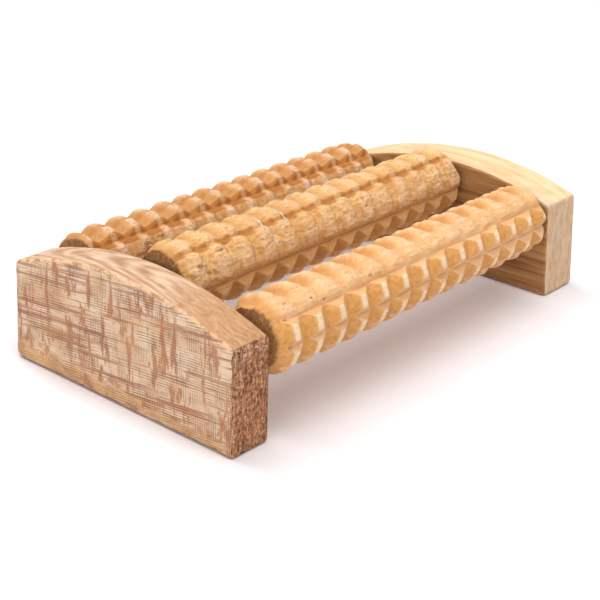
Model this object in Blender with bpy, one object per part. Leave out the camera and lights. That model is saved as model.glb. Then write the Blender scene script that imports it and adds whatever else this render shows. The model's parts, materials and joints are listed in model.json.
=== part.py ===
"""Foot massage roller: three knobbed wooden rollers spinning on steel rods between two end boards.

Frame: metres, +Z up, origin at the middle of the underside.
+X runs along the rollers, from the left end board to the right one.
+Y points to the back; the front roller is at -Y.
"""
import math

import bmesh
import bpy

MM = 0.001

# End boards
BOARD_LENGTH = 140 * MM
BOARD_ARCH_RISE = 13.3 * MM  # over the straight line between the two top corners
LEFT_BOARD_FRONT_HEIGHT = 50 * MM
LEFT_BOARD_BACK_HEIGHT = 50 * MM
RIGHT_BOARD_FRONT_HEIGHT = 51 * MM
RIGHT_BOARD_BACK_HEIGHT = 45.5 * MM
LEFT_BOARD_THICKNESS = 22.7 * MM
RIGHT_BOARD_THICKNESS = 28 * MM
BOARD_SPAN = 217.2 * MM  # clear distance between the two inner faces
LEFT_BOARD_HEEL = 3 * MM  # the foot of its back end juts out past the top corner
RIGHT_BOARD_TOE = 3.6 * MM  # the foot of its front end juts out past the top corner
BOARD_EDGE_ROUND = 2 * MM
ARCH_STEPS = 16

# Rollers
ROLLER_RADIUS = 18.8 * MM  # over the knobs
GROOVE_DEPTH = 3.4 * MM
CREST_LENGTH = 3.6 * MM  # flat top of a knob along the roller
KNOB_ROWS = 9
ROW_GROOVE_HALF_ANGLE = math.radians(9.5)  # at the knob tops
ROLLER_END_GAP = 4.3 * MM
ROLLER_BORE_RADIUS = 3.5 * MM

# Axle rods, glued into blind holes in the boards
ROD_RADIUS = 3 * MM
ROD_DEPTH_IN_BOARD = 12 * MM
GLUE_GAP = 0.3 * MM
ROUND_SIDES = 24

# Axle places, measured from the ends of the boards and from the floor
FRONT_AXLE_INSET = 15 * MM
BACK_AXLE_INSET = 13 * MM
FRONT_AXLE_HEIGHT = 42.3 * MM
MIDDLE_AXLE_HEIGHT = 50.8 * MM
BACK_AXLE_HEIGHT = 41 * MM

OVERALL_LENGTH = LEFT_BOARD_THICKNESS + BOARD_SPAN + RIGHT_BOARD_THICKNESS
LEFT_INNER_X = -OVERALL_LENGTH / 2 + LEFT_BOARD_THICKNESS
RIGHT_INNER_X = OVERALL_LENGTH / 2 - RIGHT_BOARD_THICKNESS
ROLLER_LENGTH = BOARD_SPAN - 2 * ROLLER_END_GAP
MIDSPAN_X = (LEFT_INNER_X + RIGHT_INNER_X) / 2
BOARD_CENTRE_Y = (BACK_AXLE_INSET - FRONT_AXLE_INSET) / 2

# name: (axle Y, axle Z, whole rings of knobs, left end to first ring groove, ring pitch,
#        turn of the first lengthwise groove)
ROLLERS = {
    "front": (BOARD_CENTRE_Y - BOARD_LENGTH / 2 + FRONT_AXLE_INSET, FRONT_AXLE_HEIGHT,
              12, 16.3 * MM, 15.2 * MM, math.radians(21)),
    "middle": (BOARD_CENTRE_Y, MIDDLE_AXLE_HEIGHT,
               14, 0.0, ROLLER_LENGTH / 14, math.radians(28)),
    "back": (BOARD_CENTRE_Y + BOARD_LENGTH / 2 - BACK_AXLE_INSET, BACK_AXLE_HEIGHT,
             13, 8.3 * MM, 14.8 * MM, math.radians(6)),
}


def clear_scene():
    for old in list(bpy.data.objects):
        bpy.data.objects.remove(old, do_unlink=True)


def principled(name, colour, roughness, metallic=0.0):
    material = bpy.data.materials.new(name)
    material.use_nodes = True
    shader = material.node_tree.nodes["Principled BSDF"]
    shader.inputs["Base Color"].default_value = (*colour, 1.0)
    shader.inputs["Roughness"].default_value = roughness
    shader.inputs["Metallic"].default_value = metallic
    material.diffuse_color = (*colour, 1.0)
    return material


def object_from_bmesh(name, mesh_builder, material, location=(0.0, 0.0, 0.0)):
    bmesh.ops.recalc_face_normals(mesh_builder, faces=mesh_builder.faces)
    mesh = bpy.data.meshes.new(name)
    mesh_builder.to_mesh(mesh)
    mesh_builder.free()
    mesh.materials.append(material)
    piece = bpy.data.objects.new(name, mesh)
    piece.location = location
    bpy.context.collection.objects.link(piece)
    return piece


# ---------------------------------------------------------------- end boards

def board_outline(toe, heel, front_height, back_height):
    """Points (y, z) around a board: flat bottom, near-upright ends and a circular arch on top."""
    half = BOARD_LENGTH / 2
    arch_radius = (half ** 2 + BOARD_ARCH_RISE ** 2) / (2 * BOARD_ARCH_RISE)
    half_angle = math.asin(half / arch_radius)
    points = [(-half - toe, 0.0), (half + heel, 0.0)]
    for step in range(ARCH_STEPS + 1):
        angle = half_angle * (1 - 2 * step / ARCH_STEPS)
        y = arch_radius * math.sin(angle)
        rise = BOARD_ARCH_RISE - arch_radius * (1 - math.cos(angle))
        back_share = (y + half) / BOARD_LENGTH
        chord_height = front_height + (back_height - front_height) * back_share
        points.append((y, chord_height + rise))
    return points


def hole_cutter(name, inner_x, direction):
    """Three closed round prisms, one per axle, that sink the blind holes into a board."""
    shape = bmesh.new()
    hole_depth = ROD_DEPTH_IN_BOARD + GLUE_GAP
    for axle_y, axle_z, *_knobs in ROLLERS.values():
        mouth_x = inner_x - direction * hole_depth
        rims = []
        for x in (mouth_x, inner_x + direction * hole_depth):
            rims.append(ring_of_points(shape, x, ROD_RADIUS + GLUE_GAP, axle_y, axle_z))
        bridge_rings(shape, rims[0], rims[1])
        for rim in rims:
            shape.faces.new(rim)
    cutter = object_from_bmesh(name, shape, WOOD_DARK)
    cutter.hide_render = True
    cutter.display_type = 'WIRE'
    return cutter


def end_board(name, outer_x, inner_x, outline, material):
    direction = 1 if inner_x < outer_x else -1
    shape = bmesh.new()
    rims = []
    for x in (outer_x, inner_x):
        rims.append([shape.verts.new((x, y + BOARD_CENTRE_Y, z)) for y, z in outline])
    bridge_rings(shape, rims[0], rims[1])
    for rim in rims:
        shape.faces.new(rim)
    board = object_from_bmesh(name, shape, material)
    edges = board.modifiers.new("rounded_edges", 'BEVEL')
    edges.width = BOARD_EDGE_ROUND
    edges.segments = 2
    edges.limit_method = 'ANGLE'
    edges.angle_limit = math.radians(30)
    holes = board.modifiers.new("axle_holes", 'BOOLEAN')
    holes.operation = 'DIFFERENCE'
    holes.solver = 'EXACT'
    holes.object = hole_cutter(name + "_hole_cutter", inner_x, direction)
    return board


# ---------------------------------------------------------------- round pieces

def ring_of_points(shape, x, radius, centre_y=0.0, centre_z=0.0, sides=ROUND_SIDES):
    points = []
    for side in range(sides):
        angle = 2 * math.pi * side / sides
        points.append(shape.verts.new((x, centre_y + radius * math.cos(angle),
                                       centre_z + radius * math.sin(angle))))
    return points


def bridge_rings(shape, first, second):
    count = len(first)
    for side in range(count):
        following = (side + 1) % count
        shape.faces.new((first[side], first[following], second[following], second[side]))


def axle_rod(name, axle_y, axle_z):
    half_length = BOARD_SPAN / 2 + ROD_DEPTH_IN_BOARD
    shape = bmesh.new()
    rims = [ring_of_points(shape, x, ROD_RADIUS) for x in (-half_length, half_length)]
    bridge_rings(shape, rims[0], rims[1])
    for rim in rims:
        shape.faces.new(rim)
    rod = object_from_bmesh(name, shape, STEEL, (MIDSPAN_X, axle_y, axle_z))
    rod.data.shade_smooth()
    rod.data.set_sharp_from_angle(angle=math.radians(40))
    return rod


# ---------------------------------------------------------------- rollers

def knob_angles():
    """Angles around a roller: the bottom of each lengthwise groove and the two knob edges beside it."""
    row_angle = 2 * math.pi / KNOB_ROWS
    angles = []
    for row in range(KNOB_ROWS):
        start = row * row_angle
        angles.extend((start, start + ROW_GROOVE_HALF_ANGLE, start + row_angle - ROW_GROOVE_HALF_ANGLE))
    return angles


def station_radii(on_crest):
    """Radius at each knob angle, on a ring crest or in the bottom of a ring groove."""
    root = ROLLER_RADIUS - GROOVE_DEPTH
    if not on_crest:
        return [root] * (3 * KNOB_ROWS)
    return [root, ROLLER_RADIUS, ROLLER_RADIUS] * KNOB_ROWS


def plain_end(length, flank):
    """Distances from a roller's end to the knob edges between it and the nearest ring groove."""
    knob_end = length - flank
    chamfer = min(GROOVE_DEPTH, knob_end)
    return [chamfer, knob_end] if knob_end > chamfer else [chamfer]


def roller_stations(rings, first_groove, pitch):
    """(x, on_crest) along a roller, from its left end to its right end."""
    half = ROLLER_LENGTH / 2
    flank = (pitch - CREST_LENGTH) / 2
    stations = [(-half, False)]
    if first_groove > flank:
        stations.extend((-half + distance, True) for distance in plain_end(first_groove, flank))
        stations.append((-half + first_groove, False))
    for ring in range(rings):
        start = -half + first_groove + ring * pitch
        stations.append((start + flank, True))
        stations.append((start + pitch - flank, True))
        stations.append((start + pitch, False))
    right_end = half - stations[-1][0]
    if right_end > flank:
        stations.extend((half - distance, True) for distance in reversed(plain_end(right_end, flank)))
        stations.append((half, False))
    return stations


def knobbed_surface(shape, stations, angles, turn):
    """Grid of knobs; each groove crossing is split along the hip of its pyramid."""
    grid = []
    for x, on_crest in stations:
        radii = station_radii(on_crest)
        grid.append([shape.verts.new((x, radius * math.cos(angle + turn), radius * math.sin(angle + turn)))
                     for angle, radius in zip(angles, radii)])
    count = len(angles)
    for left, right, left_row, right_row in zip(stations, stations[1:], grid, grid[1:]):
        for side in range(count):
            following = (side + 1) % count
            corners = [left_row[side], left_row[following], right_row[following], right_row[side]]
            groove_side = side % 3 == 0 or following % 3 == 0
            if left[1] == right[1] or not groove_side:
                shape.faces.new(corners)
                continue
            crest_row = right_row if right[1] else left_row
            pit_row = left_row if right[1] else right_row
            knob_side = following if side % 3 == 0 else side
            pit_side = side if side % 3 == 0 else following
            hip = (pit_row[pit_side], crest_row[knob_side])
            start = corners.index(hip[0])
            corners = corners[start:] + corners[:start]
            shape.faces.new(corners[:3])
            shape.faces.new((corners[0], corners[2], corners[3]))
    return grid[0], grid[-1]


def roller(name, axle_y, axle_z, rings, first_groove, pitch, turn):
    shape = bmesh.new()
    stations = roller_stations(rings, first_groove, pitch)
    angles = knob_angles()
    left_rim, right_rim = knobbed_surface(shape, stations, angles, turn)
    bore_rims = []
    for x, rim in ((stations[0][0], left_rim), (stations[-1][0], right_rim)):
        bore = [shape.verts.new((x, ROLLER_BORE_RADIUS * math.cos(angle + turn),
                                 ROLLER_BORE_RADIUS * math.sin(angle + turn))) for angle in angles]
        bridge_rings(shape, rim, bore)
        bore_rims.append(bore)
    bridge_rings(shape, bore_rims[0], bore_rims[1])
    return object_from_bmesh(name, shape, WOOD_GOLD, (MIDSPAN_X, axle_y, axle_z))


# ---------------------------------------------------------------- build

clear_scene()
WOOD_DARK = principled("board_wood_left", (0.47, 0.33, 0.22), 0.75)
WOOD_PALE = principled("board_wood_right", (0.72, 0.55, 0.33), 0.7)
WOOD_GOLD = principled("roller_wood", (0.78, 0.50, 0.22), 0.6)
STEEL = principled("rod_steel", (0.55, 0.54, 0.52), 0.35, 1.0)

left_outline = board_outline(0.0, LEFT_BOARD_HEEL, LEFT_BOARD_FRONT_HEIGHT, LEFT_BOARD_BACK_HEIGHT)
right_outline = board_outline(RIGHT_BOARD_TOE, 0.0, RIGHT_BOARD_FRONT_HEIGHT, RIGHT_BOARD_BACK_HEIGHT)
end_board("left_end_board", -OVERALL_LENGTH / 2, LEFT_INNER_X, left_outline, WOOD_DARK)
end_board("right_end_board", OVERALL_LENGTH / 2, RIGHT_INNER_X, right_outline, WOOD_PALE)
for place, (axle_y, axle_z, *knobs) in ROLLERS.items():
    axle_rod(place + "_axle_rod", axle_y, axle_z)
    roller(place + "_roller", axle_y, axle_z, *knobs)
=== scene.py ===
"""Foot massage roller: the visual model and its studio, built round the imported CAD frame."""

import json
import math

import bmesh
import bpy
import numpy as np
from mathutils import Matrix, Vector, noise


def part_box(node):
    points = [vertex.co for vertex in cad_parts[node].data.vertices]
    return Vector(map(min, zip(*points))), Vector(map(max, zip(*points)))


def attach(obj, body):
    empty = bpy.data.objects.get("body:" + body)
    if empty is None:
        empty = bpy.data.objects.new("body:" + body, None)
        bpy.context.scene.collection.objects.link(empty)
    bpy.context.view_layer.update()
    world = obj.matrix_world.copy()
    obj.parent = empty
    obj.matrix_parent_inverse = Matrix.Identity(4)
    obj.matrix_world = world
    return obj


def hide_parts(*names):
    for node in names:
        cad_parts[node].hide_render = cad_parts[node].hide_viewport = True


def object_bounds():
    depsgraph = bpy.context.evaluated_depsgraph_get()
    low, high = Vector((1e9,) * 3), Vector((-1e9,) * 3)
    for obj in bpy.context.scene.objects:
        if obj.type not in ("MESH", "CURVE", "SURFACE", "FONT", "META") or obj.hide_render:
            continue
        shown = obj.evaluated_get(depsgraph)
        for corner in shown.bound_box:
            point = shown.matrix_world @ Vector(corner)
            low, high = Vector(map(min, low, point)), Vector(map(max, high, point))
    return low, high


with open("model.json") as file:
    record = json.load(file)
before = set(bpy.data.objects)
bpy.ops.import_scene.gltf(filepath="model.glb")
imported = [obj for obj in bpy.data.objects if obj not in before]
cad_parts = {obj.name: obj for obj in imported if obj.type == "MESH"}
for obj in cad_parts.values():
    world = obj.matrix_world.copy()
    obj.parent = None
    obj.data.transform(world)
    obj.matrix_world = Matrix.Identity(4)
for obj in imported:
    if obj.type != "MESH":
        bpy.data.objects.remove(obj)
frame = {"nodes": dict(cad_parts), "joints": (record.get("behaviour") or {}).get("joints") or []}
cad_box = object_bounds()

MM = 0.001
SHARP_EDGE = 48  # degrees between two faces, above which their edge isn't smoothed over
JOINTS = {joint["child"]: joint for joint in frame["joints"]}

# ---------------------------------------------------------------- camera

CAMERA_PLACE = (-0.48301, -0.39875, 0.28652)
CAMERA_HEADING = math.radians(40.14)  # from +X towards +Y
CAMERA_TILT = math.radians(-23.93)
CAMERA_ROLL = math.radians(1.77)
CAMERA_LENS_MM = 80.1
CAMERA_SENSOR_MM = 36.0
CAMERA_NEAREST = 0.01


def add_camera():
    """A camera at its place, turned by heading and tilt and then rolled about its own axis."""
    forward = Vector((math.cos(CAMERA_TILT) * math.cos(CAMERA_HEADING),
                      math.cos(CAMERA_TILT) * math.sin(CAMERA_HEADING),
                      math.sin(CAMERA_TILT)))
    level_right = forward.cross(Vector((0, 0, 1))).normalized()
    level_up = level_right.cross(forward)
    right = level_right * math.cos(CAMERA_ROLL) + level_up * math.sin(CAMERA_ROLL)
    up = level_up * math.cos(CAMERA_ROLL) - level_right * math.sin(CAMERA_ROLL)
    data = bpy.data.cameras.new("camera")
    data.sensor_width = CAMERA_SENSOR_MM
    data.lens = CAMERA_LENS_MM
    data.clip_start = CAMERA_NEAREST
    camera = bpy.data.objects.new("camera", data)
    bpy.context.collection.objects.link(camera)
    turn = Matrix((right, up, -forward)).transposed().to_4x4()
    camera.matrix_world = Matrix.Translation(CAMERA_PLACE) @ turn
    bpy.context.scene.camera = camera


# ---------------------------------------------------------------- shader helper

class Shader:
    """One material, with short calls for the nodes that the surfaces here use. Its lengths are in mm."""

    def __init__(self, name):
        self.material = bpy.data.materials.new(name)
        self.material.use_nodes = True
        self.tree = self.material.node_tree
        self.surface = self.tree.nodes["Principled BSDF"]
        coords = self.add("ShaderNodeTexCoord")
        self.place = self.add("ShaderNodeVectorMath", {0: coords.outputs["Object"], "Scale": 1 / MM},
                              operation='SCALE').outputs[0]
        self.normal = coords.outputs["Normal"]

    def feed(self, socket, value):
        if isinstance(value, bpy.types.NodeSocket):
            self.tree.links.new(value, socket)
        elif socket.type == 'RGBA' and len(value) == 3:
            socket.default_value = (*value, 1.0)
        else:
            socket.default_value = value

    def add(self, kind, inputs=None, **settings):
        node = self.tree.nodes.new(kind)
        for key, value in settings.items():
            setattr(node, key, value)
        for key, value in (inputs or {}).items():
            self.feed(node.inputs[key], value)
        return node

    def axis(self, vector, name):
        return self.add("ShaderNodeSeparateXYZ", {0: vector}).outputs[name]

    def attribute(self, name):
        return self.add("ShaderNodeAttribute", attribute_name=name).outputs["Fac"]

    def calc(self, operation, first, second=0.0, clamp=False):
        """One operation on two values, or on the first alone where it takes one."""
        return self.add("ShaderNodeMath", {0: first, 1: second},
                        operation=operation, use_clamp=clamp).outputs[0]

    def times(self, first, *others):
        """Product of any number of values."""
        for other in others:
            first = self.calc('MULTIPLY', first, other)
        return first

    def plus(self, first, *others):
        """Sum of any number of values."""
        for other in others:
            first = self.calc('ADD', first, other)
        return first

    def weigh(self, *parts):
        """Sum of (value, weight) parts."""
        return self.plus(*(self.times(value, weight) for value, weight in parts))

    def noise(self, cycles, detail=3.0, roughness=0.55, distortion=0.0, tilt=0.0, shift=(0, 0, 0)):
        """Noise with its own number of cycles per mm along each axis, tilted about X."""
        place = self.add("ShaderNodeMapping", {"Vector": self.place, "Rotation": (tilt, 0, 0),
                                               "Location": shift}).outputs[0]
        stretched = self.add("ShaderNodeVectorMath", {0: place, 1: cycles},
                             operation='MULTIPLY').outputs[0]
        noise_inputs = {"Vector": stretched, "Scale": 1.0, "Detail": detail, "Roughness": roughness,
                        "Distortion": distortion}
        return self.add("ShaderNodeTexNoise", noise_inputs).outputs["Fac"]

    def step(self, value, low, high, start=0.0, end=1.0):
        """Smooth step of a value from start to end, between low and high."""
        return self.add("ShaderNodeMapRange", {"Value": value, "From Min": low, "From Max": high,
                                               "To Min": start, "To Max": end},
                        interpolation_type='SMOOTHSTEP').outputs["Result"]

    def mix(self, amount, first, second):
        node = self.add("ShaderNodeMix", data_type='RGBA')
        self.feed(node.inputs[0], amount)
        self.feed(node.inputs[6], first)
        self.feed(node.inputs[7], second)
        return node.outputs[2]

    def ramp(self, value, *stops):
        node = self.add("ShaderNodeValToRGB", {"Fac": value})
        marks = node.color_ramp.elements
        while len(marks) < len(stops):
            marks.new(0.5)
        for mark, (place, colour) in zip(marks, stops):
            mark.position = place
            mark.color = (*colour, 1.0)
        return node.outputs["Color"]

    def finish(self, colour, roughness, height, bump_mm, specular=0.3):
        """Feeds the surface; bump_mm is how far the height moves the surface from 0 to 1."""
        bump = self.add("ShaderNodeBump", {"Height": height, "Distance": bump_mm * MM, "Strength": 1.0})
        self.feed(self.surface.inputs["Base Color"], colour)
        self.feed(self.surface.inputs["Roughness"], roughness)
        self.feed(self.surface.inputs["Normal"], bump.outputs[0])
        self.feed(self.surface.inputs["Specular IOR Level"], specular)
        return self.material


# ---------------------------------------------------------------- rollers

ROW_CUT_SLOPE = 0.74  # rise of the lengthwise cutter's V, round the roller
GROOVE_WOBBLE = 2.2  # degrees that a lengthwise groove wanders to each side
GROOVE_UNEVENNESS = 0.22  # share by which its depth goes up and down
FULL_DEPTH = 3.4 * MM
BORE_RADIUS = 3.5 * MM
END_SLOPE = 0.8  # how fast an end's rounding runs out along the roller
END_UNEVENNESS = 1.6  # mm
END_WEAR = 0.5 * MM
DRIFT = 0.4 * MM  # how far the rings wander along the roller
DRIFT_FADE = 5 * MM  # length at each end over which that dies out
TWIST = 0.018  # radians that the knobs wander round the roller
LUMP_LEVEL = 0.9  # how high the lumps' noise sits; below zero it leaves the surface alone
LUMP_SIZES = ((3.0, 1.0), (7.5, 0.7), (17.0, 0.35))  # (fineness, strength)
SCRATCH_WIDTH = 0.62 * MM

# Noise on a roller: cycles per metre along it, and the radius in cycles of the circle read round it
LUMPS_ALONG, LUMPS_ROUND = 60, 1.3
GROOVES_ALONG = 95
ENDS_ROUND = 2
TWIST_ALONG = 22
TWIST_REPEATS = 3  # times round the roller

# What the wood reads from the cuts
CROSSING_DEPTH = 1.2 * MM  # the painted shade at a groove crossing is full from here
END_FADE = 0.9 * MM  # how far the dark end grain and painted shade of an end face reach round its edge
RIM_DEPTH = 0.7 * MM  # the painted rim highlight fades out as the cuts get about this deep
CRISP_WEAR, BLUNT_WEAR = 0.2 * MM, 0.4 * MM  # wear at which edges are still crisp, and are blunt
RIM_WEAR, NO_RIM_WEAR = 0.18 * MM, 0.34 * MM  # wear at which the painted rim highlights are still whole, and are gone
NO_RIM_RING, RIM_RING = 1.6 * MM, 2.8 * MM  # ring grooves this deep have no painted rim highlight yet, or a full one

# How the rollers' surface is divided
FLANK_SHARE = 0.4  # share of the pitch on each side of a ring groove
FLANK_STEPS = 9  # in each of those
CREST_STEPS = 6  # in the rest of the pitch
ARC_STEP = 0.62 * MM
SHORTEST_STEP = 0.35 * MM
SHORTEST_KNOB = 0.5 * MM

# Angles are in degrees from +Y, over the top towards the front. All lengths are in mm.
# first_groove is the first ring groove's distance from the left end, pitch the distance to the next.
# end_cuts is how deep the left and the right end are rounded.
# row_grooves are (angle, depth at the left end, depth at the right end) of the lengthwise grooves.
# These are (angle, value) round the roller: ring_depths; crests, the flat length of a knob's top;
# domes, how round a knob is along the roller, 0 to 1; wear, the rounding of edges; lumps, the
# unevenness; pits, how strongly painted shade darkens the groove crossings, 0 to 1.
# marks are torn spots: (distance from the left end, angle, reach along, reach round, depth).
# scratches are pale lines: (distance from the left end, angle) of one end, then of the other.
ROLLER_LOOKS = {
    "front_roller": {
        "first_groove": 16.3, "pitch": 15.2, "seed": 3.0, "end_cuts": (4.6, 2.6),
        "row_grooves": ((21, 2.8, 2.8), (61, 1.5, 1.7), (101, 0.9, 1.2), (141, 2.9, 2.9), (181, 2.1, 4.1),
                        (221, 2.4, 2.4), (261, 2.4, 2.4), (301, 2.4, 2.4), (341, 2.4, 2.4)),
        "ring_depths": ((0, 3.4), (45, 4.4), (84, 4.4), (98, 2.8), (108, 1.5), (124, 1.1), (136, 1.7),
                        (145, 3.5)),
        "crests": ((0, 2.4), (25, 1.2), (90, 1.2), (130, 2.4), (141, 2.2)),
        "domes": ((0, 0.2), (50, 0.9), (125, 0.9), (138, 0.0), (300, 0.0)),
        "wear": ((0, 0.14), (50, 0.25), (62, 0.4), (128, 0.4), (139, 0.1), (240, 0.12)),
        "lumps": ((0, 0.2), (60, 0.5), (100, 1.15), (132, 1.0), (142, 0.14)),
        "pits": ((0, 0.1),),
        "marks": ((65.4, 131, 1.3, 0.9, 0.6), (10.3, 118, 1.5, 0.7, 0.4), (24.7, 126, 1.6, 0.8, 0.5),
                  (32.1, 135, 1.3, 0.8, 0.4), (6.2, 139, 1.2, 1.0, 0.4), (5.7, 183, 1.6, 1.4, 0.5)),
        "scratches": (),
    },
    "middle_roller": {
        "first_groove": 1.2, "pitch": 14.9, "seed": 11.0, "end_cuts": (3.0, 3.0),
        "row_grooves": ((28, 2.6, 2.6), (76, 1.9, 1.9), (119, 2.1, 2.4), (153, 0.3, 0.3), (188, 3.4, 3.4),
                        (228, 2.4, 2.4), (268, 2.4, 2.4), (308, 2.4, 2.4), (348, 2.4, 2.4)),
        "ring_depths": ((0, 3.4), (50, 3.2), (70, 2.8), (98, 1.8), (112, 2.3), (119, 2.7), (125, 2.1),
                        (132, 1.7), (150, 1.5), (172, 1.5), (187, 2.8), (193, 3.4)),
        "crests": ((0, 3.4), (25, 1.6), (110, 1.8), (185, 2.4)),
        "domes": ((0, 0.2), (40, 0.8), (100, 0.6), (112, 0.2), (135, 0.7), (175, 0.6), (187, 0.0),
                  (300, 0.0)),
        "wear": ((0, 0.16), (50, 0.36), (110, 0.34), (128, 0.25), (180, 0.2), (190, 0.08), (300, 0.12)),
        "lumps": ((0, 0.3), (60, 1.0), (120, 0.9), (135, 1.2), (180, 1.0), (190, 0.12), (300, 0.2)),
        "pits": ((0, 0.1), (98, 0.2), (110, 1.0), (130, 1.0), (140, 0.2)),
        "marks": ((10.0, 147, 2.4, 1.7, 0.5), (14.2, 159, 2.0, 1.5, 0.4), (31.3, 125, 2.6, 1.0, 0.4),
                  (24.7, 135, 2.2, 1.1, 0.5)),
        "scratches": ((56.7, 102, 57.6, 134), (57.6, 134, 60.0, 156), (72.2, 109, 72.7, 125)),
    },
    "back_roller": {
        "first_groove": 8.3, "pitch": 14.8, "seed": 23.0, "end_cuts": (3.0, 2.4),
        "row_grooves": ((6, 2.8, 2.8), (46, 2.7, 2.7), (86, 2.6, 2.6), (127, 3.3, 3.3), (166, 2.4, 2.4),
                        (206, 2.4, 2.4), (246, 2.4, 2.4), (286, 2.4, 2.4), (326, 2.4, 2.4)),
        "ring_depths": ((0, 3.4), (60, 4.0), (110, 4.0), (128, 3.6), (140, 2.6), (170, 2.0), (200, 3.4)),
        "crests": ((0, 2.4), (30, 0.8), (130, 0.8), (170, 2.6)),
        "domes": ((0, 0.5), (40, 1.0), (105, 0.8), (118, 0.1), (140, 0.1), (170, 0.5), (300, 0.0)),
        "wear": ((0, 0.25), (50, 0.4), (108, 0.34), (120, 0.2), (140, 0.2), (170, 0.3)),
        "lumps": ((0, 0.4), (100, 0.6), (150, 0.9)),
        "pits": ((0, 0.2), (80, 0.5), (100, 0.5), (116, 1.0), (150, 1.0), (165, 0.2)),
        "marks": ((30.3, 152, 4.2, 3.0, 0.6), (40.7, 145, 2.4, 1.6, 0.4)),
        "scratches": (),
    },
}


def round_values(pairs, angles):
    """Values at every angle round a roller, as one row."""
    places, values = zip(*pairs)
    return np.interp(angles, places, values, period=360)[None, :]


def soft_max(first, second, wear):
    """The deeper of two cuts, blended over a width of wear."""
    return wear * np.logaddexp(first / wear, second / wear)


def turned_away(angles, angle):
    """Signed degrees from one angle to others, the short way round."""
    return (angles - angle + 180) % 360 - 180


def roller_stations(length, first_groove, pitch):
    """Stations along a roller, on every ring groove, and each one's distance to the nearest groove."""
    grooves = np.arange(first_groove - pitch, length + pitch, pitch)
    flank = np.linspace(0, FLANK_SHARE, FLANK_STEPS, endpoint=False)
    crest = np.linspace(FLANK_SHARE, 1 - FLANK_SHARE, CREST_STEPS, endpoint=False)
    shares = np.concatenate([flank, crest, 1 - flank[::-1] - FLANK_SHARE / FLANK_STEPS])
    inner = np.concatenate([start + shares * pitch for start in grooves[:-1]])
    inner = inner[(inner > SHORTEST_STEP) & (inner < length - SHORTEST_STEP)]
    stations = np.concatenate([[0.0], inner, [length]])
    # the cuts beyond the ends were never made: the end knobs stay whole
    real = grooves[(grooves > SHORTEST_KNOB) & (grooves < length - SHORTEST_KNOB)]
    return stations, np.abs(stations[:, None] - real[None, :]).min(axis=1)


def roller_angles(grooves, radius):
    """Angles round a roller in degrees, on every lengthwise groove and evenly between them."""
    starts = [groove[0] for groove in grooves]
    parts = []
    for start, end in zip(starts, starts[1:] + [starts[0] + 360]):
        steps = round(math.radians(end - start) * radius / ARC_STEP)
        parts.append(np.linspace(start, end, steps, endpoint=False))
    return np.concatenate(parts)


def ring_cut(look, ring_distance, angles):
    """Depth of the ring grooves; below zero between them."""
    depth = round_values(look["ring_depths"], angles) * MM
    flank = (look["pitch"] - round_values(look["crests"], angles)) / 2 * MM
    dome = round_values(look["domes"], angles)
    share = ring_distance[:, None] / flank
    arched = (1 + np.cos(np.pi * np.minimum(share, 1))) / 2
    return depth * (arched * dome + (1 - share) * (1 - dome))


def row_cut(stations, angles, grooves, length, radius):
    """Depth of the lengthwise cuts at every station and angle; below zero where they miss the wood."""
    share = stations[:, None] / length
    cut = np.full((len(stations), len(angles)), -1.0)
    for angle, left_depth, right_depth in grooves:
        wobble = np.array([[noise.noise(Vector((station * GROOVES_ALONG, angle, 3.0)))]
                           for station in stations])
        away = np.abs(turned_away(angles[None, :] - GROOVE_WOBBLE * wobble, angle))
        depth = (left_depth + (right_depth - left_depth) * share) * MM * (1 + GROOVE_UNEVENNESS * wobble)
        cut = np.maximum(cut, depth - ROW_CUT_SLOPE * np.radians(away) * radius)
    return cut


def end_gap(stations, length):
    """Distance of every station to the nearer end, as one column."""
    return np.minimum(stations, length - stations)[:, None]


def end_cut(look, stations, angles, length):
    """Depth of the uneven rounding at both ends; below zero away from them."""
    uneven = np.array([noise.noise(Vector((math.cos(turn) * ENDS_ROUND, math.sin(turn) * ENDS_ROUND,
                                           look["seed"]))) for turn in np.radians(angles)])
    rounding = np.where(stations < length / 2, *look["end_cuts"])[:, None]
    return (rounding + END_UNEVENNESS * uneven[None, :]) * MM - END_SLOPE * end_gap(stations, length)


def ramp_between(value, start, end):
    """0 to 1 as a value goes from start to end, level beyond them."""
    return np.clip((value - start) / (end - start), 0, 1)


def roller_cuts(look, stations, ring_distance, angles, length, radius):
    """Depth of the worn surface below the blank at every station and angle, and what the wood reads."""
    wear = round_values(look["wear"], angles) * MM
    ring_depth = round_values(look["ring_depths"], angles) * MM
    rings = ring_cut(look, ring_distance, angles)
    rows = row_cut(stations, angles, look["row_grooves"], length, radius)
    cut = soft_max(rings, rows, wear)
    depth = soft_max(cut, np.zeros_like(cut), wear)
    depth = soft_max(depth, end_cut(look, stations, angles, length), END_WEAR)

    crossing = ramp_between(np.minimum(rings, rows), 0, CROSSING_DEPTH)
    crisp = np.maximum(ramp_between(wear, BLUNT_WEAR, CRISP_WEAR), 0.3)
    near_end = np.exp(-end_gap(stations, length) / END_FADE)
    has_rim_highlight = ramp_between(ring_depth, NO_RIM_RING, RIM_RING) * ramp_between(wear, NO_RIM_WEAR, RIM_WEAR)
    fields = {
        "groove": np.clip(depth / FULL_DEPTH, 0, 1.3),
        # painted shade at the groove crossings
        "pit": crossing * round_values(look["pits"], angles),
        "crisp": np.broadcast_to(crisp, depth.shape),
        # end faces: dark end grain, partly painted shade
        "end": np.broadcast_to(near_end, depth.shape),
        # painted highlight along the knob rims
        "rim": np.clip(1.1 - np.maximum(rings, rows) / RIM_DEPTH, 0, 1) * has_rim_highlight,
    }
    return depth, fields


def mark_field(stations, angles, marks, radius):
    """(dent depth, stain from 0 to 1) of the small torn spots."""
    dent = np.zeros((len(stations), len(angles)))
    stain = np.zeros_like(dent)
    for station, angle, reach_along, reach_round, depth in marks:
        along = (stations[:, None] - station * MM) / (reach_along * MM)
        arc = np.radians(turned_away(angles, angle))[None, :] * radius / (reach_round * MM)
        fade = np.exp(-(along ** 2 + arc ** 2))
        dent += depth * MM * fade
        stain = np.maximum(stain, fade)
    return dent, stain


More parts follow.
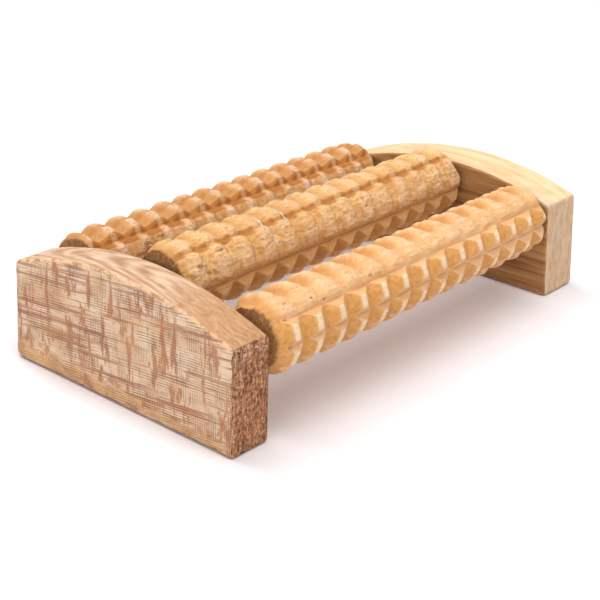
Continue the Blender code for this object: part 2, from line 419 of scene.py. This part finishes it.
def scratch_field(stations, angles, scratches, radius):
    """1 on the pale scratch lines, fading to 0 beside them."""
    field = np.zeros((len(stations), len(angles)))
    along, arc = np.meshgrid(stations, np.radians(angles) * radius, indexing='ij')
    for first_station, first_angle, last_station, last_angle in scratches:
        start = np.array([first_station * MM, math.radians(first_angle) * radius])
        line = np.array([last_station * MM, math.radians(last_angle) * radius]) - start
        share = ((along - start[0]) * line[0] + (arc - start[1]) * line[1]) / (line @ line)
        share = np.clip(share, 0, 1)
        gap = np.hypot(along - start[0] - share * line[0], arc - start[1] - share * line[1])
        field = np.maximum(field, np.clip(1.25 - gap / SCRATCH_WIDTH, 0, 1))
    return field


def roller_surface(look, stations, angles, reach, length):
    """Places of the surface from the left end of the axis, its radii roughened and slightly shifted."""
    seed = look["seed"]
    lumps = round_values(look["lumps"], angles)[0] * MM
    places = np.empty((len(stations), len(angles), 3))
    turns = np.radians(angles)
    for i, station in enumerate(stations):
        inside = min(1.0, min(station, length - station) / DRIFT_FADE)
        for j, turn in enumerate(turns):
            spot = Vector((station * LUMPS_ALONG, math.cos(turn) * LUMPS_ROUND + seed,
                           math.sin(turn) * LUMPS_ROUND))
            drift = DRIFT * inside * noise.noise(spot * 1.3 + Vector((0, 0, 9)))
            lump = LUMP_LEVEL
            for fineness, strength in LUMP_SIZES:
                lump += strength * noise.noise(spot * fineness)
            worn_reach = reach[i, j] - max(0.0, 0.5 * lumps[j] * lump)
            twist = TWIST * noise.noise(Vector((station * TWIST_ALONG, seed, math.cos(turn * TWIST_REPEATS))))
            places[i, j] = (station + drift, worn_reach * math.cos(turn + twist),
                            worn_reach * math.sin(turn + twist))
    return places


def roller_piece(node):
    """A roller with every knob cut, on its CAD node's own axis and inside its box."""
    look = ROLLER_LOOKS[node]
    low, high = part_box(node)
    _, centre_y, centre_z = JOINTS[node]["pos_m"]
    cad = np.array([vertex.co for vertex in frame["nodes"][node].data.vertices])
    radius = np.hypot(cad[:, 1] - centre_y, cad[:, 2] - centre_z).max()
    length = high.x - low.x
    stations, ring_distance = roller_stations(length, look["first_groove"] * MM, look["pitch"] * MM)
    angles = roller_angles(look["row_grooves"], radius)
    depth, fields = roller_cuts(look, stations, ring_distance, angles, length, radius)
    dent, fields["stain"] = mark_field(stations, angles, look["marks"], radius)
    fields["scratch"] = scratch_field(stations, angles, look["scratches"], radius)
    places = roller_surface(look, stations, angles, radius - depth - dent, length)
    places += np.array([low.x, centre_y, centre_z])
    places = np.clip(places, np.array(low), np.array(high))
    return roller_mesh(node + "_knobs", places, centre_y, centre_z, fields)


def roller_mesh(name, grid, centre_y, centre_z, fields):
    """Closed mesh of a roller: its surface, two ringed end faces and the bore between them."""
    rows, count = grid.shape[:2]
    axis = np.array([0.0, centre_y, centre_z])
    loops = list(grid)
    for end in (0, -1):
        away = grid[end] - axis
        away[:, 0] = 0
        outer_reach = np.linalg.norm(away, axis=1, keepdims=True)
        unit = away / outer_reach
        for inner_share in (0.55, 0.0):
            loop = axis + unit * (BORE_RADIUS + inner_share * (outer_reach - BORE_RADIUS))
            loop[:, 0] = grid[end][:, 0]
            loops.append(loop)
    order = [rows + 1, rows, *range(rows), rows + 2, rows + 3]
    around = np.arange(count)
    following = (around + 1) % count
    faces = []
    for first, second in zip(order, order[1:] + order[:1]):
        faces.append(np.stack([first * count + around, first * count + following,
                               second * count + following, second * count + around], axis=1))
    mesh = bpy.data.meshes.new(name)
    mesh.from_pydata(np.concatenate(loops).tolist(), [], np.concatenate(faces).tolist())
    for key, field in fields.items():
        layer = mesh.attributes.new(key, 'FLOAT', 'POINT')
        ends = np.full(4 * count, 1.0 if key == "end" else 0.0)
        layer.data.foreach_set("value", np.concatenate([field.ravel(), ends]).astype(np.float32))
    shape = bmesh.new()
    shape.from_mesh(mesh)
    bmesh.ops.recalc_face_normals(shape, faces=shape.faces)
    shape.to_mesh(mesh)
    shape.free()
    return link_piece(name, mesh)


def link_piece(name, mesh):
    """A smooth object of a mesh, its sharp edges kept."""
    mesh.shade_smooth()
    mesh.set_sharp_from_angle(angle=math.radians(SHARP_EDGE))
    piece = bpy.data.objects.new(name, mesh)
    bpy.context.collection.objects.link(piece)
    return piece


# ---------------------------------------------------------------- woods of the rollers

BLUSH = (0.88, 0.57, 0.34)
CROWN_HIGHLIGHT = (0.94, 0.70, 0.53)
CRUMB = (0.56, 0.26, 0.07)
SPECK = (0.50, 0.21, 0.05)
HOLLOW_SHADE = (0.60, 0.25, 0.06)
CUT_DARK = (0.76, 0.33, 0.075)
CUT_PALE = (0.92, 0.48, 0.15)
CROSSING_SHADE = (0.50, 0.185, 0.035)
RIM_HIGHLIGHT = (0.95, 0.78, 0.55)
PORE = (0.36, 0.17, 0.07)
STAIN = (0.30, 0.13, 0.04)
SCRATCH = (0.93, 0.88, 0.86)
END_SHADED_GRAIN = (0.28, 0.11, 0.03)
END_PALE = (0.64, 0.34, 0.12)

# crumb is how crumbly the surface is. cut, pit, rim and crown_highlight are how strongly the
# cut faces, the painted shade at the groove crossings, the painted highlights on the knob rims and the
# painted pink highlights on the knob crowns show. cut_light is how light the cut faces are.
ROLLER_WOODS = {
    "front_roller": {
        "seed": 1.0, "crumb": 0.6, "cut": 0.95, "pit": 0.5, "rim": 0.75, "crown_highlight": 0.3, "cut_light": 0.86,
        "light": (0.885, 0.57, 0.30), "mid": (0.815, 0.47, 0.212), "deep": (0.73, 0.37, 0.136),
    },
    "middle_roller": {
        "seed": 2.0, "crumb": 0.95, "cut": 0.85, "pit": 0.85, "rim": 0.15, "crown_highlight": 0.4, "cut_light": 0.86,
        "light": (0.97, 0.65, 0.315), "mid": (0.93, 0.55, 0.22), "deep": (0.78, 0.385, 0.11),
    },
    "back_roller": {
        "seed": 3.0, "crumb": 0.95, "cut": 0.8, "pit": 0.95, "rim": 0.0, "crown_highlight": 0.75, "cut_light": 0.78,
        "light": (0.90, 0.56, 0.30), "mid": (0.80, 0.45, 0.20), "deep": (0.64, 0.31, 0.10),
    },
}


def roller_wood(node):
    """Machined pale hardwood: fibres along the roller, orange end grain in the grooves, painted shade in the
    hollows and groove crossings, painted highlights on the knob rims and crowns, end faces darkened partly
    with painted shade.
    """
    tones = ROLLER_WOODS[node]
    crumb = tones["crumb"]
    wood = Shader(node + "_grain")
    shift = tuple(tones["seed"] * spread for spread in (31.0, 7.0, 13.0))
    groove = wood.attribute("groove")
    crisp = wood.attribute("crisp")

    fibres = wood.noise((0.03, 1.0, 1.0), detail=6.0, roughness=0.62, shift=shift)
    broad = wood.noise((0.018, 0.07, 0.07), detail=3.0, distortion=0.6, shift=shift)
    blotches = wood.noise((0.09, 0.14, 0.14), detail=4.0, roughness=0.6, shift=shift)
    colour = wood.ramp(wood.weigh((fibres, 0.5), (broad, 0.5)),
                       (0.36, tones["deep"]), (0.5, tones["mid"]), (0.62, tones["light"]))
    colour = wood.mix(wood.step(blotches, 0.5, 0.66, 0.0, 0.5), colour, BLUSH)

    # painted pink highlight on the knob crowns, in patches
    crown_highlight_patches = wood.step(wood.noise((0.25, 0.35, 0.35), detail=5.0, roughness=0.65), 0.42, 0.6, 0.25, 1.0)
    crown_highlight = wood.times(wood.step(groove, 0.05, 0.45, 1.0, 0.0), crown_highlight_patches, tones["crown_highlight"])
    colour = wood.mix(crown_highlight, colour, CROWN_HIGHLIGHT)

    crumbs = wood.noise((0.45, 0.7, 0.7), detail=5.0, roughness=0.72, shift=shift)
    grit = wood.noise((1.1, 1.7, 1.7), detail=4.0, roughness=0.7, shift=shift)
    outer = wood.step(groove, 0.25, 0.6, 1.0, 0.25)
    colour = wood.mix(wood.times(wood.step(crumbs, 0.53, 0.66, 0.0, crumb), outer), colour, CRUMB)
    colour = wood.mix(wood.times(wood.step(grit, 0.56, 0.64), outer, 0.5 * crumb), colour, SPECK)

    # painted shade deep in the grooves, stronger where the edges are blunt
    worn = wood.calc('SUBTRACT', 1.15, crisp)
    hollow_shade = wood.calc('MULTIPLY', wood.step(groove, 0.2, 0.8, 0.0, 0.8), worn, clamp=True)
    colour = wood.mix(hollow_shade, colour, HOLLOW_SHADE)
    steep = wood.step(wood.calc('ABSOLUTE', wood.axis(wood.normal, "X")), 0.2, 0.42)
    cut = wood.times(steep, wood.step(groove, 0.02, 0.3), crisp, tones["cut"])
    dark, pale = (tuple(tones["cut_light"] * part for part in shade) for shade in (CUT_DARK, CUT_PALE))
    end_grain = wood.noise((0.3, 0.5, 0.5), detail=5.0, roughness=0.65, shift=shift)
    colour = wood.mix(cut, colour, wood.ramp(end_grain, (0.35, dark), (0.65, pale)))
    # painted shade darkening the groove crossings
    colour = wood.mix(wood.step(wood.attribute("pit"), 0.1, 0.9, 0.0, tones["pit"]), colour, CROSSING_SHADE)
    # painted highlight along the knob rims, in patches
    rim_highlight_patches = wood.step(wood.noise((0.25, 0.6, 0.6), detail=4.0), 0.3, 0.6, 0.35, 1.0)
    rim = wood.times(wood.step(wood.attribute("rim"), 0.4, 0.95), rim_highlight_patches, tones["rim"])
    colour = wood.mix(rim, colour, RIM_HIGHLIGHT)

    pores = wood.step(wood.noise((0.22, 2.2, 2.2), detail=2.0, shift=shift), 0.64, 0.74)
    colour = wood.mix(wood.times(pores, 0.3), colour, PORE)
    speckled = wood.times(wood.attribute("stain"), wood.step(crumbs, 0.36, 0.6, 0.3, 1.0))
    colour = wood.mix(wood.step(speckled, 0.15, 0.7, 0.0, 0.8), colour, STAIN)
    colour = wood.mix(wood.times(wood.attribute("scratch"), 0.9), colour, SCRATCH)
    # end faces: dark end grain, darkened further with painted shade, reaching a little round the edge
    end_grain_and_shade = wood.ramp(crumbs, (0.36, END_SHADED_GRAIN), (0.64, END_PALE))
    colour = wood.mix(wood.step(wood.attribute("end"), 0.3, 0.8, 0.0, 0.92), colour, end_grain_and_shade)
    height = wood.weigh((fibres, 0.5), (crumbs, 0.4 + crumb), (grit, 0.45 * crumb), (pores, -0.2))
    return wood.finish(colour, wood.step(fibres, 0.3, 0.7, 0.5, 0.72), height, 0.35 + crumb * 0.7)


# ---------------------------------------------------------------- end boards

BOARD_VOXEL = 0.9 * MM

# (usual size, how much it varies) of the worn edges, in mm
LEFT_LOWER_EDGE = (1.5, 1.5)
LEFT_HEEL = (3.6, 1.6)
LEFT_FRONT_CORNER = (1.9, 1.3)
RIGHT_LOWER_EDGE = (1.6, 1.0)
# (depth in mm, cycles per metre) of the unevenness of faces
LEFT_FACES = ((0.12, 260), (0.35, 60))
RIGHT_FACES = ((0.10, 240), (0.35, 55))
FRONT_FACING = -0.6  # a normal's Y below this belongs to the torn end grain


def board_piece(node, carve):
    """A fine closed copy of a CAD board, its edges and faces worn by carve(point, normal, low, high)."""
    low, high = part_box(node)
    mesh = frame["nodes"][node].data.copy()
    piece = bpy.data.objects.new(node + "_timber", mesh)
    bpy.context.collection.objects.link(piece)
    remesh = piece.modifiers.new("remesh", 'REMESH')
    remesh.mode = 'VOXEL'
    remesh.voxel_size = BOARD_VOXEL
    remesh.adaptivity = 0.0
    bpy.context.view_layer.update()
    depsgraph = bpy.context.evaluated_depsgraph_get()
    fine = bpy.data.meshes.new_from_object(piece.evaluated_get(depsgraph))
    piece.modifiers.clear()
    piece.data = fine
    normals = [vertex.normal.copy() for vertex in fine.vertices]
    for vertex, normal in zip(fine.vertices, normals):
        vertex.co = carve(vertex.co.copy(), normal, low, high)
    fine.materials.clear()
    fine.shade_smooth()
    return piece


def past_chamfer(across, up, size, variation):
    """How far a point moves along both faces of an edge to reach its chamfer.

    across and up are the point's distances from the two faces, variation is noise about 0.
    """
    usual, varies = size
    return max(0.0, (usual + varies * variation) * MM - (across + up)) / 2


def grain_noise(x, y, z):
    """Smooth noise about 0 at a place given in cycles."""
    return noise.noise(Vector((x, y, z)))


def roughness(x, y, z):
    """Smooth noise from 0 to 1 at a place given in cycles."""
    return 0.5 + 0.5 * grain_noise(x, y, z)


def carve_left(point, normal, low, high):
    """Chipped lower edge, worn heel at the back, uneven front corner and torn end grain."""
    ripple = grain_noise(0, point.y * 95, 4) + 0.6 * grain_noise(3, point.y * 260, 1)
    push = past_chamfer(point.x - low.x, point.z - low.z, LEFT_LOWER_EDGE, ripple)
    point = point + Vector((push, 0, push))
    ripple = grain_noise(8, point.x * 150, point.z * 90)
    push = past_chamfer(high.y - point.y, point.z - low.z, LEFT_HEEL, ripple)
    point = point + Vector((0, -push, push))
    ripple = grain_noise(5, 2, point.z * 190)
    push = past_chamfer(point.x - low.x, point.y - low.y, LEFT_FRONT_CORNER, ripple)
    point = point + Vector((push, push, 0))
    rough = sum(depth * roughness(*(point * cycles)) for depth, cycles in LEFT_FACES)
    if normal.y < FRONT_FACING:
        rough += 0.6 * roughness(point.x * 700, 0, point.z * 420)
        rough += 0.5 * roughness(point.x * 260, 7, point.z * 160)
    return point - normal * rough * MM


def carve_right(point, normal, low, high):
    """Chamfered outer lower edge and slightly uneven faces."""
    ripple = grain_noise(0, point.y * 70, 14)
    push = past_chamfer(high.x - point.x, point.z - low.z, RIGHT_LOWER_EDGE, ripple)
    point = point + Vector((-push, 0, push))
    rough = sum(depth * roughness(*(point * cycles)) for depth, cycles in RIGHT_FACES)
    return point - normal * rough * MM


# ---------------------------------------------------------------- wood of the left board

# Places are in mm in the CAD frame
SAW_TILT = math.radians(5.7)
SAW_LINE_SPACING = 1.25
TICK_SPACING = 1.05
BROWN_BAND_HEIGHT = 29.5
HEART_LINE_X = -120.0
SAWN_MARK = (0.17, 0.06, 0.028)
BROWN_BAND = (0.34, 0.14, 0.08)
BLOT = (0.50, 0.21, 0.09)
GREY_SCUFF = (0.76, 0.70, 0.64)


def thin_lines(wood, across, spacing, waver, width, patches):
    """Fine dark lines spacing mm apart across a face, wavering and fading out in patches."""
    phase = wood.weigh((across, 2 * math.pi / spacing), (waver, 9.0))
    line = wood.step(wood.calc('SINE', phase), 1.0 - width, 1.0)
    return wood.times(line, patches)


def saw_marks(wood, along, rising):
    """Dark lines left by the saw blade, and short upright ticks across them."""
    waver = wood.noise((0.1, 0.02, 0.05), detail=2.0)
    patches = wood.step(wood.noise((0.2, 0.05, 0.16), detail=4.0, roughness=0.6), 0.42, 0.6)
    lines = thin_lines(wood, rising, SAW_LINE_SPACING, waver, 0.75, patches)
    tick_waver = wood.noise((0.1, 0.03, 0.03), shift=(2, 5, 0))
    patches = wood.step(wood.noise((0.2, 0.12, 0.10), detail=4.0, shift=(0, 9, 4)), 0.47, 0.62)
    ticks = thin_lines(wood, along, TICK_SPACING, tick_waver, 0.7, patches)
    return wood.times(wood.calc('MAXIMUM', lines, ticks), 0.9)


def ray_fleck(wood, rising):
    """Brown upright flecks, their edges cut by the saw, in two sizes."""
    ragged_edge = wood.times(wood.calc('SINE', wood.times(rising, 5.0)), 0.018)
    narrow = wood.noise((0.2, 0.20, 0.040), detail=5.0, roughness=0.66, distortion=0.25)
    wide = wood.noise((0.2, 0.15, 0.055), detail=5.0, roughness=0.7, shift=(0, 31, 7))
    return wood.calc('MAXIMUM', wood.step(wood.plus(narrow, ragged_edge), 0.53, 0.60),
                     wood.step(wide, 0.57, 0.63))


def sawn_face(wood, height, along, rising, wander, marks, flecks):
    """Silvery quarter-sawn face with brown fleck, a darker band and sapwood at its foot."""
    long_lines = wood.noise((0.3, 0.014, 0.42), detail=5.0, roughness=0.68, tilt=SAW_TILT)
    silver = wood.ramp(wander, (0.38, (0.66, 0.45, 0.27)), (0.62, (0.78, 0.60, 0.43)))
    brown = wood.ramp(wander, (0.4, (0.44, 0.165, 0.065)), (0.6, (0.34, 0.12, 0.045)))
    lines = wood.step(long_lines, 0.50, 0.60)
    face = wood.mix(wood.times(wood.calc('MAXIMUM', flecks, lines), 0.78), silver, brown)
    sway = wood.noise((0.1, 0.02, 0.05), detail=2.0)
    from_band = wood.calc('SUBTRACT', rising, wood.plus(BROWN_BAND_HEIGHT, wood.times(sway, 6.0)))
    band = wood.step(wood.calc('ABSOLUTE', from_band), 0.3, 1.5, 0.7, 0.0)
    face = wood.mix(wood.times(band, wood.step(along, -35.0, 40.0)), face, BROWN_BAND)

    sapwood = wood.ramp(long_lines, (0.35, (0.58, 0.33, 0.15)), (0.65, (0.76, 0.50, 0.27)))
    sapwood_top = wood.weigh((along, 0.04), (wood.noise((0.1, 0.09, 0.12), detail=5.0), 17.0))
    above = wood.plus(wood.calc('SUBTRACT', height, sapwood_top), 2.0)
    face = wood.mix(wood.step(above, -0.5, 3.0, 0.95, 0.0), face, sapwood)
    blots = wood.step(wood.noise((0.2, 0.11, 0.15), detail=5.0, roughness=0.65, shift=(0, 3, 21)),
                      0.53, 0.60)
    face = wood.mix(wood.times(blots, wood.step(height, 8.0, 18.0, 0.75, 0.0)), face, BLOT)
    return wood.mix(wood.times(marks, 0.9), face, SAWN_MARK)


def arched_top(wood, along, fine):
    """Cathedral figure: arches round the log's heart line, their tips towards the front."""
    off_heart = wood.plus(wood.axis(wood.place, "X"), -HEART_LINE_X)
    bend = wood.noise((0.05, 0.02, 0.05), detail=3.0, roughness=0.5)
    arch = wood.weigh((wood.times(off_heart, off_heart), 0.09), (along, 0.30), (bend, 14.0))
    contours = wood.times(wood.calc('SINE', arch), wood.step(along, -50.0, -12.0, 0.2, 1.0))
    tone = wood.plus(wood.weigh((contours, 0.07), (fine, 0.55)), 0.225)
    top = wood.ramp(tone, (0.36, (0.36, 0.185, 0.10)), (0.5, (0.55, 0.35, 0.215)),
                    (0.62, (0.68, 0.50, 0.355)))
    tan = wood.ramp(fine, (0.35, (0.36, 0.17, 0.07)), (0.65, (0.56, 0.31, 0.145)))
    return wood.mix(wood.step(along, -52.0, -18.0, 0.8, 0.0), top, tan)


def rough_end(wood, height, pits):
    """Dark torn end grain in upright bars, scuffed grey near its upper corner."""
    bars = wood.noise((0.6, 0.3, 0.07), detail=4.0)
    end = wood.ramp(wood.weigh((pits, 0.7), (bars, 0.3)),
                    (0.41, (0.10, 0.03, 0.010)), (0.48, (0.34, 0.135, 0.055)),
                    (0.55, (0.56, 0.27, 0.13)), (0.62, (0.80, 0.54, 0.34)))
    scuffs = wood.step(wood.noise((0.35, 0.3, 0.5), detail=4.0, shift=(6, 0, 3)), 0.54, 0.62)
    return wood.mix(wood.times(wood.step(height, 42.0, 47.0), scuffs, 0.6), end, GREY_SCUFF)


def left_board_wood():
    """Quarter-sawn face crossed by ray fleck and saw lines, long grain on top, rough dark end grain."""
    wood = Shader("left_board_grain")
    height = wood.axis(wood.place, "Z")
    along = wood.axis(wood.place, "Y")
    rising = wood.plus(height, wood.times(along, math.tan(SAW_TILT)))
    wander = wood.noise((0.06, 0.06, 0.06), detail=4.0)
    fine = wood.noise((0.9, 0.022, 0.9), detail=5.0, roughness=0.6)
    pits = wood.noise((0.75, 0.9, 0.5), detail=5.0, roughness=0.78)
    marks = saw_marks(wood, along, rising)
    flecks = ray_fleck(wood, rising)
    top = arched_top(wood, along, fine)

    facing_x, facing_y, facing_z = (wood.axis(wood.normal, name) for name in "XYZ")
    ragged = wood.calc('SUBTRACT', wood.noise((0.3, 0.15, 0.3), detail=3.0), 0.5)
    ragged = wood.times(ragged, 0.5)
    is_top = wood.step(wood.plus(facing_z, ragged), 0.35, 0.6)
    is_end = wood.step(wood.plus(wood.calc('ABSOLUTE', facing_y), ragged), 0.6, 0.8)
    is_inner = wood.step(facing_x, 0.3, 0.7)
    colour = wood.mix(is_top, sawn_face(wood, height, along, rising, wander, marks, flecks), top)
    # painted highlight along the rounded top edge of the outer face, broken by darker patches
    arris_highlight = wood.times(wood.step(facing_z, 0.15, 0.4), wood.step(facing_x, -0.45, -0.2, 1.0, 0.0))
    broken = wood.noise((0.2, 0.22, 0.4), detail=4.0, roughness=0.7, shift=(0, 5, 2))
    arris_highlight_tone = wood.ramp(broken, (0.42, (0.40, 0.19, 0.085)), (0.52, (0.70, 0.49, 0.29)))
    colour = wood.mix(wood.times(arris_highlight, 0.75), colour, arris_highlight_tone)
    colour = wood.mix(wood.times(is_inner, 0.7), colour, top)
    colour = wood.mix(is_end, colour, rough_end(wood, height, pits))

    relief = wood.weigh((marks, -0.3), (flecks, -0.2), (wood.times(pits, is_end), 3.0), (fine, 0.7))
    return wood.finish(colour, wood.step(wander, 0.3, 0.7, 0.62, 0.82), relief, 0.28)


# ---------------------------------------------------------------- other materials

GREY_STAIN = (0.36, 0.36, 0.31)
BLUE_STAIN = (0.36, 0.40, 0.40)


def right_board_wood():
    """Pale softwood: faint long grain, brown bands made darker with painted shade on the inner face, and
    blue-grey stain streaks.
    """
    wood = Shader("right_board_grain")
    grain = wood.noise((0.35, 0.012, 0.35), detail=5.0, roughness=0.6)
    bands = wood.noise((0.06, 0.008, 0.16), detail=3.0, distortion=0.5)
    fine = wood.noise((1.2, 0.03, 1.2), detail=4.0)
    tone = wood.weigh((grain, 0.6), (bands, 0.4))
    pale = wood.ramp(tone, (0.35, (0.62, 0.38, 0.19)), (0.5, (0.76, 0.53, 0.30)),
                     (0.65, (0.83, 0.63, 0.40)))
    # inner face: brown bands, made darker with painted shade
    inner_bands_and_shade = wood.ramp(tone, (0.38, (0.22, 0.09, 0.03)), (0.5, (0.40, 0.20, 0.07)),
                     (0.62, (0.54, 0.32, 0.14)))
    end = wood.ramp(wood.noise((0.3, 0.2, 0.12), detail=6.0, roughness=0.7),
                    (0.35, (0.50, 0.32, 0.18)), (0.5, (0.62, 0.42, 0.25)), (0.65, (0.70, 0.52, 0.33)))

    place_x = wood.axis(wood.place, "X")
    facing_x, facing_y, facing_z = (wood.axis(wood.normal, name) for name in "XYZ")
    ragged = wood.times(wood.calc('SUBTRACT', wood.noise((0.2, 0.2, 0.2)), 0.5), 0.4)
    is_end = wood.step(wood.plus(wood.calc('ABSOLUTE', facing_y), ragged), 0.55, 0.8)
    is_inner = wood.step(wood.times(facing_x, -1.0), 0.5, 0.8)
    colour = wood.mix(is_inner, pale, inner_bands_and_shade)
    colour = wood.mix(is_end, colour, end)
    stain = wood.step(wood.noise((0.25, 0.2, 0.08), detail=5.0, roughness=0.7), 0.52, 0.62, 0.0, 0.75)
    near_inner = wood.step(place_x, 108.0, 122.0, 1.0, 0.2)
    colour = wood.mix(wood.times(stain, near_inner, is_end), colour, GREY_STAIN)
    edge = wood.times(wood.step(place_x, 106.5, 112.0, 1.0, 0.0), wood.step(facing_z, 0.2, 0.7))
    blue = wood.step(wood.noise((0.1, 0.03, 0.1), detail=4.0, shift=(0, 17, 0)), 0.48, 0.64, 0.0, 0.5)
    colour = wood.mix(wood.times(edge, blue), colour, BLUE_STAIN)
    relief = wood.weigh((grain, 0.6), (fine, 0.4))
    return wood.finish(colour, wood.step(grain, 0.3, 0.7, 0.6, 0.78), relief, 0.22)


def rod_steel():
    """Plain drawn rod with fine turning marks and dull patches."""
    steel = Shader("drawn_steel")
    marks = steel.noise((2.6, 0.2, 0.2), detail=3.0)
    dull = steel.noise((0.12, 0.3, 0.3), detail=4.0)
    steel.feed(steel.surface.inputs["Metallic"], 1.0)
    colour = steel.ramp(dull, (0.35, (0.34, 0.32, 0.30)), (0.65, (0.56, 0.55, 0.53)))
    return steel.finish(colour, steel.step(dull, 0.3, 0.7, 0.28, 0.5), marks, 0.03, specular=0.5)


def floor_paper():
    """White paper with a barely visible mottle."""
    paper = Shader("white_floor")
    speck = paper.noise((0.02, 0.02, 0.02), detail=2.0)
    tone = paper.ramp(speck, (0.3, (0.775, 0.75, 0.775)), (0.7, (0.79, 0.765, 0.79)))
    return paper.finish(tone, 0.8, speck, 0.01, specular=0.1)


# ---------------------------------------------------------------- studio

FLOOR_RADIUS = 1.8
FLOOR_SIDES = 96
FLOOR_GAP = 0.15 * MM
LAMP_COLOUR = (1.0, 0.98, 0.96)
# (name, place, what it is aimed at, width, depth, power)
SOFTBOXES = (
    ("key_softbox", (0.0, 0.20, 3.4), (0, 0, 0), 1.8, 6.4, 240.0),
    ("side_softbox", (-2.6, -0.6, 1.4), (0, 0, 0.03), 1.8, 1.8, 27.0),
)
WALL_COLOUR = (0.98, 0.945, 1.0, 1.0)
# The walls' strength up to one height, and the ceiling's above another; heights are sines of the angle
WALL_STRENGTH, WALL_TOP = 0.78, 0.2
CEILING_STRENGTH, CEILING_EDGE = 0.02, 0.45


def add_floor():
    floor_shape = bmesh.new()
    bmesh.ops.create_circle(floor_shape, cap_ends=True, segments=FLOOR_SIDES, radius=FLOOR_RADIUS)
    floor_mesh = bpy.data.meshes.new("floor")
    floor_shape.to_mesh(floor_mesh)
    floor_shape.free()
    floor = link_piece("floor", floor_mesh)
    floor.location.z = cad_box[0].z - FLOOR_GAP
    floor.data.materials.append(floor_paper())


def add_softbox(name, place, aim, width, depth, power):
    data = bpy.data.lights.new(name, 'AREA')
    data.shape = 'RECTANGLE'
    data.size = width
    data.size_y = depth
    data.energy = power
    data.color = LAMP_COLOUR
    lamp = bpy.data.objects.new(name, data)
    lamp.location = place
    lamp.rotation_euler = (Vector(aim) - Vector(place)).to_track_quat('-Z', 'Y').to_euler()
    bpy.context.collection.objects.link(lamp)


def add_room():
    """Bright walls all round and a dim ceiling."""
    world = bpy.data.worlds.new("studio")
    world.use_nodes = True
    nodes, links = world.node_tree.nodes, world.node_tree.links
    direction = nodes.new("ShaderNodeSeparateXYZ")
    links.new(nodes.new("ShaderNodeTexCoord").outputs["Generated"], direction.inputs[0])
    fade = nodes.new("ShaderNodeMapRange")
    for key, value in (("From Min", WALL_TOP), ("From Max", CEILING_EDGE),
                       ("To Min", WALL_STRENGTH), ("To Max", CEILING_STRENGTH)):
        fade.inputs[key].default_value = value
    links.new(direction.outputs["Z"], fade.inputs["Value"])
    background = nodes["Background"]
    background.inputs["Color"].default_value = WALL_COLOUR
    links.new(fade.outputs["Result"], background.inputs["Strength"])
    bpy.context.scene.world = world


# ---------------------------------------------------------------- build

for node in ROLLER_LOOKS:
    piece = roller_piece(node)
    piece.data.materials.append(roller_wood(node))
    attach(piece, node)
    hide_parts(node)

for node, carve, wood, slot in (
        ("left_end_board", carve_left, left_board_wood(), "left_board_wood"),
        ("right_end_board", carve_right, right_board_wood(), "right_board_wood")):
    piece = board_piece(node, carve)
    piece.data.materials.append(wood)
    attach(piece, "frame")
    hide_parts(node)

steel = rod_steel()
for node in ("front_axle_rod", "middle_axle_rod", "back_axle_rod"):
    for material_slot in frame["nodes"][node].material_slots:
        material_slot.material = steel

add_floor()
for softbox in SOFTBOXES:
    add_softbox(*softbox)
add_room()
add_camera()
bpy.context.scene.view_settings.view_transform = 'Standard'
